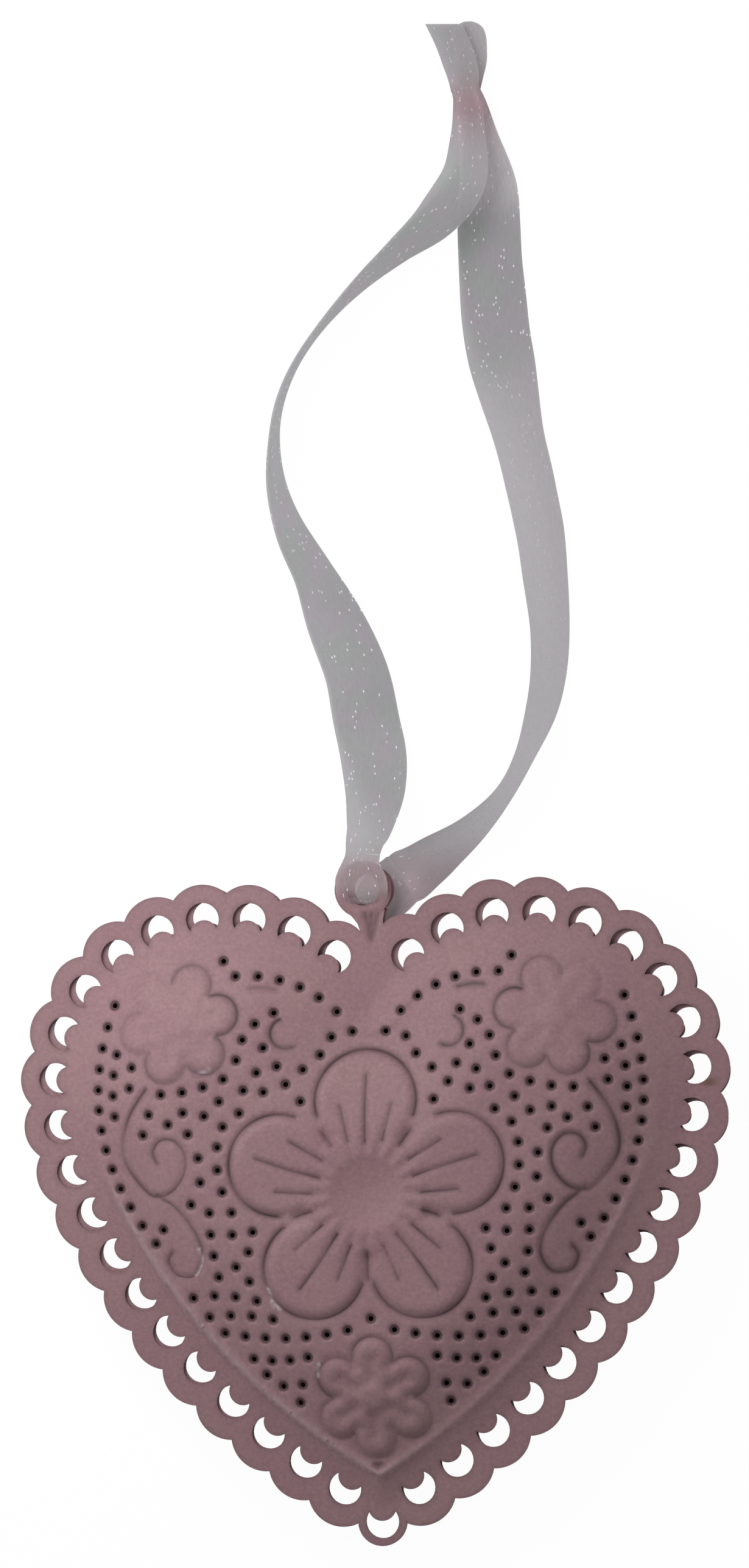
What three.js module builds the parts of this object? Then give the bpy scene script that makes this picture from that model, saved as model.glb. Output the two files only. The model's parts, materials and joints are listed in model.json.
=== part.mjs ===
// Pressed tin heart with a lace edge, made of two domed halves spot welded rim to rim,
// hung on a loop of sheer ribbon that passes through its eyelet. Millimetres, lying face up.
import * as THREE from "three";

// Line through the centres of the edge openings, right half, from the cleft to the tip.
const cleftHeight = 31;
const cleftHeading = 57.5;
const lobeRadius = 26.8;
const lobeTurn = 61.8;
const shoulderRadius = 25.6;
const shoulderTurn = 91.3;
const hipRadius = 43.6;
const hipTurn = 19.6;
const flankRadius = 104.4;

// Lace edge outside that line.
const openingsPerSide = 20;
const cleftGap = 8.4;
const tipGap = 6.8;
const lacePeak = 5.25;
const scallopDepth = 1.35;
const openingRadius = 2.5;
const bumpRadius = 2.1;
const bumpInset = 2.2;
const tipLobeRadius = 3.65;
const tipLobeDrop = 1.1;

// Eyelet tab in the cleft.
const tabOffset = -1;
const tabRise = 16.2;
const tabRadius = 4.3;
const eyeletRadius = 2.4;
const neckHalfWidth = 2.4;

// Pressed section, from the flat rim up to the crown.
const sheet = 0.4;
const rimGap = 0.3;
const footInset = 2.6;
const ridgeInset = 5;
const ridgeHeight = 1.6;
const crownInset = 19;
const crownRise = 4.6;

// Embossed flowers: the large one is flat topped round a dished middle. All sit a little off the axis.
const patternOffset = -0.35;
const flowerHeight = 1.95;
const petalCount = 5;
const petalCentre = 13.75;
const petalRadius = 7.6;
const petalRelief = 0.5;
const petalEdge = 0.7;
const dishRadius = 5.8;
const dishFloorRadius = 3.4;
const dishDepth = 1.1;
const sprigPetals = 6;
const sprigCentre = 6.1;
const sprigRadius = 3.05;
const sprigRelief = 0.35;
const sprigs = [
  { x: 28.3, y: 27.7, turn: 49 },
  { x: -28.3, y: 27.7, turn: 72 },
  { x: 0, y: -28.4, turn: 30 },
];

// Pierced dots of the right half, in rows: count, first x and y, last x and y, and the bow to the left.
const dotDiameter = 1.45;
const dotSides = 6;
const dotRows = [
  [13, 38.4, 30.6, 32.7, -5.2, 5.2],
  [4, 38, 23.2, 38.5, 13.9, 0.4],
  [2, 35.6, 21.2, 36, 18.1, 0],
  [1, 22, 36.9, 22, 36.9, 0],
  [6, 5, 29, 20, 34.6, 1.7],
  [2, 5.6, 25.2, 2.5, 26, 0],
  [3, 7.5, 22.6, 12.5, 18.3, 0],
  [1, 10, 15.7, 10, 15.7, 0],
  [4, 14, 29, 19.5, 22, 1.3],
  [4, 21.5, 19.2, 31, 17.1, -0.5],
  [2, 13.5, 21, 16.5, 20.1, 0],
  [1, 15.5, 24, 15.5, 24, 0],
  [2, 15.5, 17.2, 18.5, 17.5, 0],
  [2, 22.5, 15.9, 19.5, 14.1, 0],
  [3, 33, 14.1, 27, 11.1, 0],
  [1, 34, 11.1, 34, 11.1, 0],
  [3, 27.5, 14.3, 21.5, 12.1, -0.6],
  [4, 22.6, 9.1, 20.6, -0.7, 0.8],
  [3, 25.5, 7.5, 26.8, 0.6, -0.9],
  [4, 24, -0.7, 23, -10.3, 0.3],
  [2, 17.5, -3.6, 20.6, -4, 0],
  [3, 18.5, -6.5, 18.5, -10.9, 2],
  [4, 27, -13.4, 17, -13.9, -0.5],
  [4, 24.5, -16.3, 14.5, -16.7, -0.4],
  [7, 22.5, -18.7, 3.5, -18.4, 1],
  [4, 18.5, -22.6, 10, -22.4, 0.4],
  [3, 16, -24.9, 10.5, -26.4, 1],
  [1, 11, -29.2, 11, -29.2, 0],
  [1, 31, -2.8, 31, -2.8, 0],
];
const axisDots = [-16.7, -38.5];

// The back half is trimmed smaller and sits slightly turned about the tip, so it shows in the front openings.
const backTurn = -0.45;
const backTrim = 0.5;

// Spot welds on the webs of the lace, counted from the cleft.
const weldRadius = 0.7;
const weldInset = 1.5;
const weldSlack = 0.02;
const weldWebs = [3, 9, 14, 19];

// Sheer ribbon: x, y and height of its middle, its width there, and how far its right edge is tilted up.
const ribbonThickness = 0.5;
const leftRun = [
  [-0.6, 52.2, 9.1, 2.4, 0],
  [-0.2, 54.4, 8.3, 5.4, 0],
  [0.3, 57.3, 6.6, 7.4, 0],
  [0.6, 61.8, 4, 9, 0],
  [0.2, 67.3, 1.7, 10, 0],
  [-0.9, 72.6, 0.7, 10, 0],
  [-2.2, 79.8, 1.2, 10, 9],
  [-5, 87.4, 2.3, 10, 23],
  [-8, 94.6, 3.8, 10, 45],
  [-11.4, 101.5, 4.5, 10, 56],
  [-13.4, 108.4, 4.8, 10, 64],
  [-13.5, 115.4, 5, 10, 71],
  [-12.3, 121.5, 5.1, 10, 73],
  [-9.6, 127.3, 5.1, 10, 74],
  [-5.3, 133, 5.1, 10, 73],
  [0.3, 138.6, 4.9, 10, 67],
  [5.9, 143.3, 4.7, 10, 57],
  [11.6, 147.9, 4.2, 9.6, 39],
  [15.3, 153.7, 3.7, 7.8, 15],
  [16.2, 159.3, 3, 5, 3],
  [16.2, 162.9, 2.8, 3.4, 0],
];
const rightRun = [
  [3, 48.4, 5.2, 2.4, 0],
  [4.7, 48.9, 5, 6.4, -8],
  [7, 50.1, 4.6, 9, -36],
  [10.2, 52.3, 4.4, 10, -54],
  [15.2, 56, 4.9, 10, -69],
  [20.1, 61, 5.2, 10, -80],
  [23.4, 66.5, 5.2, 10, -79],
  [25.9, 72.9, 4.9, 10, -69],
  [27.2, 78.9, 4.8, 10, -64],
  [27.6, 85.6, 4.6, 10, -60],
  [27, 93.9, 4.3, 10, -53],
  [26.3, 100.6, 4, 10, -49],
  [25.1, 107.3, 4, 10, -48],
  [23.4, 114.9, 3.8, 10, -44],
  [21.9, 121.6, 2.8, 10, -30],
  [20.5, 128, 1.3, 10, -8],
  [19.8, 133.7, 0.7, 10, -3],
  [19.4, 139.9, 0.5, 9.8, 0],
  [19, 146.7, 0.5, 9.4, 0],
  [18.2, 153.7, 0.6, 7.4, 0],
  [17.1, 159.7, 1, 5, 0],
  [16.4, 162.9, 1.2, 3.4, 0],
];
const upperTail = [
  [15.7, 169.6, 2.8, 3.2, 0],
  [14.7, 173.3, 1.9, 5.4, 0],
  [13.5, 178.3, 1.5, 7, 0],
];
const lowerTail = [
  [16.7, 169.6, 1.4, 3, 0],
  [17.5, 172.7, 0.7, 4.6, 0],
  [18.3, 176.1, 0.4, 5.4, 0],
];
const bightDiameter = 1.2;
const bightClearance = 0.6;
const knotCentre = [16.2, 166.2, 2.25];
const knotHalf = [2.4, 2.95, 1.9];

const paint = new THREE.MeshStandardMaterial({ color: 0xc99ba2, roughness: 0.6, metalness: 0.1 });
const steel = new THREE.MeshStandardMaterial({ color: 0x6e6a6c, roughness: 0.5, metalness: 0.9 });
const organza = new THREE.MeshStandardMaterial({ color: 0xd6d2d6, roughness: 0.45, metalness: 0 });

const radians = THREE.MathUtils.degToRad;
const { clamp, lerp } = THREE.MathUtils;
const vector = (x, y) => new THREE.Vector2(x, y);
const polar = (centre, radius, angle) =>
  vector(centre.x + radius * Math.cos(angle), centre.y + radius * Math.sin(angle));
const mirrored = (points) => points.map((p) => vector(-p.x, p.y)).reverse();
const circle = (centre, radius, sides) =>
  Array.from({ length: sides }, (_, k) => polar(centre, radius, (-2 * Math.PI * k) / sides));

// A step along an arc that bends to the right of its heading.
function alongArc(start, radius, angle) {
  const centre = polar(start.point, radius, start.heading - Math.PI / 2);
  const heading = start.heading - angle;
  return { point: polar(centre, radius, heading + Math.PI / 2), heading, centre };
}

// The opening line as joined arcs, the last one ending where it meets the axis of the heart.
function openingLine() {
  const arcs = [];
  let start = { point: vector(0, cleftHeight), heading: radians(cleftHeading) };
  const bends = [
    [lobeRadius, radians(lobeTurn)],
    [shoulderRadius, radians(shoulderTurn)],
    [hipRadius, radians(hipTurn)],
  ];
  for (const [radius, turn] of bends) {
    arcs.push({ start, radius, length: radius * turn });
    start = alongArc(start, radius, turn);
  }
  const { centre } = alongArc(start, flankRadius, 0);
  const endHeading = -Math.PI - Math.asin(centre.x / flankRadius);
  const flankTurn = start.heading - endHeading;
  arcs.push({ start, radius: flankRadius, length: flankRadius * flankTurn, centre });
  return arcs;
}
const rail = openingLine();
const flank = rail[rail.length - 1];
const railLength = rail.reduce((sum, arc) => sum + arc.length, 0);
const pitch = (railLength - cleftGap - tipGap) / (openingsPerSide - 1);

// Point and outward direction at a distance along the opening line.
function railAt(distance) {
  let rest = distance;
  const arc = rail.find((a) => {
    if (rest <= a.length || a === flank) return true;
    rest -= a.length;
    return false;
  });
  const { point, heading } = alongArc(arc.start, arc.radius, rest / arc.radius);
  return { point, outward: vector(-Math.sin(heading), Math.cos(heading)) };
}
function besideRail(distance, offset) {
  const { point, outward } = railAt(distance);
  return point.addScaledVector(outward, offset);
}
const tip = vector(0, besideRail(railLength, 0).y - tipLobeDrop);
const eyelet = vector(tabOffset, cleftHeight + tabRise);

// Scalloped edge of the right half from the neck of the tab to the lobe at the tip.
function scallopEdge(trim) {
  const steps = 4;
  const reach = pitch / 2;
  const radius = (reach ** 2 + scallopDepth ** 2) / (2 * scallopDepth);
  const points = [];
  for (let k = 0; k <= openingsPerSide * steps; k++) {
    const along = ((k % steps) / steps - 0.5) * pitch;
    const rise = Math.sqrt(radius ** 2 - along ** 2) - radius;
    points.push(besideRail(cleftGap - reach + (k * pitch) / steps, lacePeak - trim + rise));
  }
  const nearAxis = (p) => p.x < (p.y > tip.y / 2 ? neckHalfWidth : tipLobeRadius) + sheet;
  const onTab = (p) => p.distanceTo(eyelet) < tabRadius + sheet;
  return points.filter((p) => !nearAxis(p) && !onTab(p));
}

// Outline of a pressing: eyelet tab, right edge, lobe at the tip and left edge.
function outline(trim) {
  const tabSteps = 16;
  const lobeSteps = 8;
  const radius = tabRadius - trim;
  const neck = Math.asin(neckHalfWidth / radius);
  const lobeStart = radians(8);
  const tab = Array.from({ length: tabSteps + 1 }, (_, k) =>
    polar(eyelet, radius, lerp(1.5 * Math.PI - neck, neck - 0.5 * Math.PI, k / tabSteps)),
  );
  const lobe = Array.from({ length: lobeSteps + 1 }, (_, k) =>
    polar(tip, tipLobeRadius, lerp(-lobeStart, lobeStart - Math.PI, k / lobeSteps)),
  );
  const edge = scallopEdge(trim);
  return [...tab, ...edge, ...lobe, ...mirrored(edge)].reverse();
}

// Moon-shaped opening: a round hole with a bump of the inner edge standing in it.
function moon(centre, outward, trim) {
  const outerSteps = 7;
  const bumpSteps = 3;
  const bump = centre.clone().addScaledVector(outward, -bumpInset);
  const radius = bumpRadius - trim;
  const reach = bumpInset ** 2 + openingRadius ** 2 - radius ** 2;
  const horn = Math.acos(reach / (2 * bumpInset * openingRadius));
  const bumpHorn = Math.asin((openingRadius * Math.sin(horn)) / radius);
  const out = outward.angle();
  const points = [];
  for (let k = 0; k <= outerSteps; k++) {
    const angle = lerp(horn, 2 * Math.PI - horn, k / outerSteps);
    points.push(polar(centre, openingRadius, out + Math.PI + angle));
  }
  for (let k = 1; k < bumpSteps; k++) {
    points.push(polar(bump, radius, out + lerp(bumpHorn, -bumpHorn, k / bumpSteps)));
  }
  return points.reverse();
}
function moons(trim) {
  const right = Array.from({ length: openingsPerSide }, (_, i) => {
    const { point, outward } = railAt(cleftGap + i * pitch);
    return moon(point, outward, trim);
  });
  return [...right, moon(tip, vector(0, -1), trim), ...right.map(mirrored)];
}

// Centres of all pierced dots, which stay inside the ridge.
function dotCentres() {
  const right = dotRows.flatMap(([count, x, y, lastX, lastY, bow]) => {
    const first = vector(x, y);
    const last = vector(lastX, lastY);
    const side = last.clone().sub(first).normalize().rotateAround(vector(0, 0), Math.PI / 2);
    return Array.from({ length: count }, (_, k) => {
      const t = count > 1 ? k / (count - 1) : 0;
      return first.clone().lerp(last, t).addScaledVector(side, 4 * bow * t * (1 - t));
    });
  });
  const all = [...right, ...axisDots.map((y) => vector(0, y)), ...mirrored(right)];
  return all.map((p) => vector(p.x + patternOffset, p.y)).filter((p) => insetOf(p) > ridgeInset);
}

// How far a point lies inside the right half of the opening line, negative outside it, and where along it.
const railSteps = Math.ceil(railLength * 2);
const railPoints = Array.from({ length: railSteps + 1 }, (_, k) => railAt((railLength * k) / railSteps));
function insideLine(p) {
  let best = 0;
  railPoints.forEach(({ point }, k) => {
    if (point.distanceToSquared(p) < railPoints[best].point.distanceToSquared(p)) best = k;
  });
  const { point, outward } = railPoints[best];
  const away = p.clone().sub(point);
  const side = Math.sign(away.dot(outward)) || 1;
  return { inset: -side * away.length(), along: (railLength * best) / railSteps };
}
const folded = (p) => vector(Math.abs(p.x), p.y);
const insetOf = (p) => insideLine(folded(p)).inset;

// Distance from the middle of a flower to the edge of its round petals in one direction.
function petalReach(angle, petals, centre, radius) {
  const step = (2 * Math.PI) / petals;
  const off = angle - step * Math.round(angle / step);
  return centre * Math.cos(off) + Math.sqrt(Math.max(0, radius ** 2 - (centre * Math.sin(off)) ** 2));
}
const flowers = [
  {
    middle: vector(patternOffset, flowerHeight),
    turn: Math.PI / 2,
    petals: petalCount,
    centre: petalCentre,
    radius: petalRadius,
    relief: petalRelief,
  },
  ...sprigs.map(({ x, y, turn }) => ({
    middle: vector(x + patternOffset, y),
    turn: radians(turn),
    petals: sprigPetals,
    centre: sprigCentre,
    radius: sprigRadius,
    relief: sprigRelief,
  })),
];
const bloom = flowers[0];

// Where the slope of the dome starts: at the bumps it runs out into the openings.
function slopeFoot(along) {
  const off = along - cleftGap - pitch * Math.round((along - cleftGap) / pitch);
  if (Math.abs(off) > bumpRadius) return footInset;
  return bumpInset - Math.sqrt(bumpRadius ** 2 - off ** 2);
}

// Height of the pressed face above its flat rim. The crown is rounded over along the axis of the heart.
function pressedHeight(p) {
  const { inset, along } = insideLine(folded(p));
  const foot = slopeFoot(along);
  let height = ridgeHeight * clamp((inset - foot) / (ridgeInset - foot), 0, 1);
  if (inset > 0) {
    const far = insideLine(folded(p).multiply(vector(-1, 1))).inset;
    const rounded = (inset ** -4 + far ** -4) ** -0.25;
    const t = clamp((rounded - ridgeInset) / (crownInset - ridgeInset), 0, 1);
    height += crownRise * t * (1 + t - t ** 2);
  }
  for (const { middle, turn, petals, centre, radius, relief } of flowers) {
    const ray = p.clone().sub(middle);
    const inside = petalReach(ray.angle() - turn, petals, centre, radius) - ray.length();
    height += relief * clamp(inside / petalEdge, 0, 1);
  }
  const fromMiddle = Math.min(p.distanceTo(bloom.middle), dishRadius);
  return height - dishDepth * (1 - (fromMiddle / dishRadius) ** 2);
}

// Points where the pressed face bends: the ring lines of the dome and the edges of the flowers.
function insetRing(inset, spacing) {
  const count = Math.round(railLength / spacing);
  const half = [];
  for (let k = 0; k <= count; k++) {
    const p = besideRail((railLength * k) / count, -inset);
    if (p.x > spacing / 3 && insetOf(p) > inset - sheet / 2) half.push(p);
  }
  const top = vector(0, cleftHeight - inset);
  const low = vector(0, flank.centre.y - Math.sqrt((flankRadius - inset) ** 2 - flank.centre.x ** 2));
  return [top, ...half, low, ...mirrored(half)];
}
function flowerRing({ middle, turn, petals, centre, radius }, inset, perPetal) {
  return Array.from({ length: petals * perPetal }, (_, k) => {
    const angle = (2 * Math.PI * (k + 0.5)) / (petals * perPetal);
    return polar(middle, petalReach(angle, petals, centre, radius) - inset, turn + angle);
  });
}
function slopePoints() {
  const half = [];
  for (let k = 0; k < 2 * openingsPerSide; k++) {
    half.push(besideRail(cleftGap + ((k - 1) * pitch) / 2, -footInset));
  }
  return [...half, ...mirrored(half)].filter((p) => insetOf(p) > footInset - sheet / 2);
}
function bendPoints() {
  const dishSides = 12;
  const rimSpacing = 4.5;
  const domeSpacing = 8;
  return [
    ...flowers.flatMap((f) => {
      const perPetal = f === bloom ? 9 : 4;
      return [...flowerRing(f, 0, perPetal), ...flowerRing(f, petalEdge, perPetal), f.middle];
    }),
    ...circle(bloom.middle, dishRadius, dishSides),
    ...circle(bloom.middle, dishFloorRadius, dishSides),
    ...slopePoints(),
    ...insetRing(ridgeInset, rimSpacing),
    ...insetRing((ridgeInset + crownInset) / 2, domeSpacing),
    ...insetRing(crownInset, domeSpacing),
  ];
}

// Triangles of a plan: those of its edge loops, evened, then with the other points set in one by one.
function planFaces(points, loopFaces, loopCount) {
  const faces = [];
  const owner = new Map();
  const key = (from, to) => from * points.length + to;
  const cross = (a, b, c) =>
    (points[b].x - points[a].x) * (points[c].y - points[a].y) -
    (points[b].y - points[a].y) * (points[c].x - points[a].x);
  const dot = (a, b, c) =>
    (points[b].x - points[a].x) * (points[c].x - points[a].x) +
    (points[b].y - points[a].y) * (points[c].y - points[a].y);
  const corner = (a, b, c) => Math.atan2(Math.abs(cross(a, b, c)), dot(a, b, c));
  const put = (i, a, b, c) => {
    faces[i] = [a, b, c];
    owner.set(key(a, b), i).set(key(b, c), i).set(key(c, a), i);
  };
  const even = (a, b) => {
    const i = owner.get(key(a, b));
    const j = owner.get(key(b, a));
    if (i === undefined || j === undefined) return;
    const c = faces[i].find((v) => v !== a && v !== b);
    const d = faces[j].find((v) => v !== a && v !== b);
    if (corner(c, a, b) + corner(d, a, b) < Math.PI + 1e-6) return;
    if (cross(a, d, c) <= 0 || cross(d, b, c) <= 0) return;
    owner.delete(key(a, b));
    owner.delete(key(b, a));
    put(i, a, d, c);
    put(j, d, b, c);
    for (const [from, to] of [[a, d], [d, b], [b, c], [c, a]]) even(from, to);
  };
  loopFaces.forEach(([a, b, c], i) => put(i, a, b, c));
  for (const pair of [...owner.keys()]) even(Math.floor(pair / points.length), pair % points.length);
  for (let p = loopCount; p < points.length; p++) {
    const i = faces.findIndex(
      ([a, b, c]) => cross(a, b, p) >= 0 && cross(b, c, p) >= 0 && cross(c, a, p) >= 0,
    );
    const [a, b, c] = faces[i];
    put(i, a, b, p);
    put(faces.length, b, c, p);
    put(faces.length, c, a, p);
    for (const [from, to] of [[a, b], [b, c], [c, a]]) even(from, to);
  }
  return faces;
}

// A sheet cut to a plan and pressed up: both faces share the plan's triangles, with walls along every edge.
function pressedSheet(edge, holes) {
  const dots = dotCentres();
  const kept = [];
  for (const p of bendPoints()) {
    const clearOfDots = dots.every((d) => d.distanceTo(p) > dotDiameter);
    if (clearOfDots && kept.every((q) => q.distanceTo(p) > sheet)) kept.push(p);
  }
  const loops = [edge, ...holes];
  const rimPoints = loops.flat();
  const points = [...rimPoints, ...kept];
  const faces = planFaces(points, THREE.ShapeUtils.triangulateShape(edge, holes), rimPoints.length);
  const heights = points.map((p) => rimGap / 2 + pressedHeight(p));
  const positions = [
    ...points.flatMap((p, i) => [p.x, p.y, heights[i] + sheet]),
    ...points.flatMap((p, i) => [p.x, p.y, heights[i]]),
  ];
  const under = points.length;
  const index = faces.flatMap(([a, b, c]) => [a, b, c, under + c, under + b, under + a]);
  let start = 0;
  for (const loop of loops) {
    for (let k = 0; k < loop.length; k++) {
      const a = start + k;
      const b = start + ((k + 1) % loop.length);
      index.push(under + a, under + b, b, under + a, b, a);
    }
    start += loop.length;
  }
  return new THREE.BufferGeometry()
    .setAttribute("position", new THREE.Float32BufferAttribute(positions, 3))
    .setIndex(index);
}

function named(name, geometry, material) {
  const mesh = new THREE.Mesh(geometry, material);
  mesh.name = name;
  return mesh;
}

// Two pressings back to back: only the front one has its dots pierced.
function heart() {
  const group = new THREE.Group();
  const bore = circle(eyelet, eyeletRadius, 12);
  const dots = dotCentres().map((p) => circle(p, dotDiameter / 2, dotSides));
  group.add(named("front_shell", pressedSheet(outline(0), [bore, ...moons(0), ...dots]), paint));
  const back = named("back_shell", pressedSheet(outline(backTrim), [bore, ...moons(backTrim)]), paint);
  back.scale.z = -1;
  back.position.set(-tip.x, -tip.y, 0);
  const turnedBack = new THREE.Group();
  turnedBack.position.set(tip.x, tip.y, 0);
  turnedBack.rotation.z = radians(backTurn);
  turnedBack.add(back);
  group.add(turnedBack);
  weldWebs.forEach((web, i) => {
    const place = besideRail(cleftGap + (web - 0.5) * pitch, -weldInset);
    for (const side of ["right", "left"]) {
      const nugget = new THREE.CylinderGeometry(weldRadius, weldRadius, rimGap - weldSlack, 6);
      const weld = named(`weld_${side}_${i + 1}`, nugget.rotateX(Math.PI / 2), steel);
      weld.position.set(side === "right" ? place.x : -place.x, place.y, 0);
      group.add(weld);
    }
  });
  return group;
}

// A closed skin through rings of points, with flat ends.
function loft(rings) {
  const sides = rings[0].length;
  const index = [];
  for (let i = 0; i + 1 < rings.length; i++) {
    for (let k = 0; k < sides; k++) {
      const a = i * sides + k;
      const b = i * sides + ((k + 1) % sides);
      index.push(a, b, b + sides, a, b + sides, a + sides);
    }
  }
  const end = (rings.length - 1) * sides;
  for (let k = 1; k + 1 < sides; k++) index.push(0, k + 1, k, end, end + k, end + k + 1);
  return new THREE.BufferGeometry().setFromPoints(rings.flat()).setIndex(index);
}

// A flat band along its middle line, as wide and as tilted at each station as the list says.
function band(stations) {
  const line = new THREE.CatmullRomCurve3(stations.map(([x, y, z]) => new THREE.Vector3(x, y, z)));
  const corners = [[0.5, 0.5], [0.5, -0.5], [-0.5, -0.5], [-0.5, 0.5]];
  const rings = stations.map(([x, y, z, width, tilt], k) => {
    const middle = new THREE.Vector3(x, y, z);
    const travel = line.getTangent(k / (stations.length - 1));
    const level = new THREE.Vector3(travel.y, -travel.x, 0).normalize();
    const across = level.applyAxisAngle(travel, -radians(tilt));
    const through = new THREE.Vector3().crossVectors(across, travel);
    return corners.map(([u, v]) =>
      middle.clone().addScaledVector(across, u * width).addScaledVector(through, v * ribbonThickness),
    );
  });
  return loft(rings);
}

// The ribbon gathered to a cord where it goes through the eyelet round the top of the tab.
function bight(middleHeight) {
  const rim = Math.hypot((tabRadius - eyeletRadius) / 2, rimGap / 2 + sheet);
  const radius = rim + bightClearance + bightDiameter / 2;
  const ringMiddle = eyelet.y + (tabRadius + eyeletRadius) / 2;
  const path = [
    [0.3, 1.35, 1.9],
    [0.6, 0, radius],
    [0.6, -radius * 0.7, radius * 0.7],
    [0.6, -radius * 1.1, 0],
    [1, -radius * 1.12, -radius * 0.6],
    [2.2, -radius * 1.05, -radius * 0.9],
    [3.5, -2.2, -2.1],
  ].map(([x, y, z]) => new THREE.Vector3(tabOffset + x, ringMiddle + y, middleHeight + z));
  const line = new THREE.CatmullRomCurve3(path);
  const steps = 9;
  const sides = 8;
  const frames = line.computeFrenetFrames(steps);
  const rings = Array.from({ length: steps + 1 }, (_, k) =>
    Array.from({ length: sides }, (_, s) =>
      line
        .getPointAt(k / steps)
        .addScaledVector(frames.normals[k], (bightDiameter / 2) * Math.cos((2 * Math.PI * s) / sides))
        .addScaledVector(frames.binormals[k], (bightDiameter / 2) * Math.sin((2 * Math.PI * s) / sides)),
    ),
  );
  return loft(rings);
}

const halfThickness = rimGap / 2 + sheet + ridgeHeight + crownRise + petalRelief;
const knot = named("ribbon_knot", new THREE.SphereGeometry(1, 10, 6).scale(...knotHalf), organza);
knot.position.set(...knotCentre);

const metal = heart();
metal.position.z = halfThickness;
const ribbon = new THREE.Group();
ribbon.add(
  named("ribbon_left_run", band(leftRun), organza),
  named("ribbon_right_run", band(rightRun), organza),
  named("ribbon_bight", bight(halfThickness), organza),
  named("ribbon_upper_tail", band(upperTail), organza),
  named("ribbon_lower_tail", band(lowerTail), organza),
  knot,
);

// The origin is the bottom centre of the metal heart.
const part = new THREE.Group();
part.add(metal, ribbon);
metal.updateMatrixWorld(true);
const box = new THREE.Box3().setFromObject(metal, true);
const centre = box.getCenter(new THREE.Vector3());
part.position.set(-centre.x, -centre.y, -box.min.z);

export default part;
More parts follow.
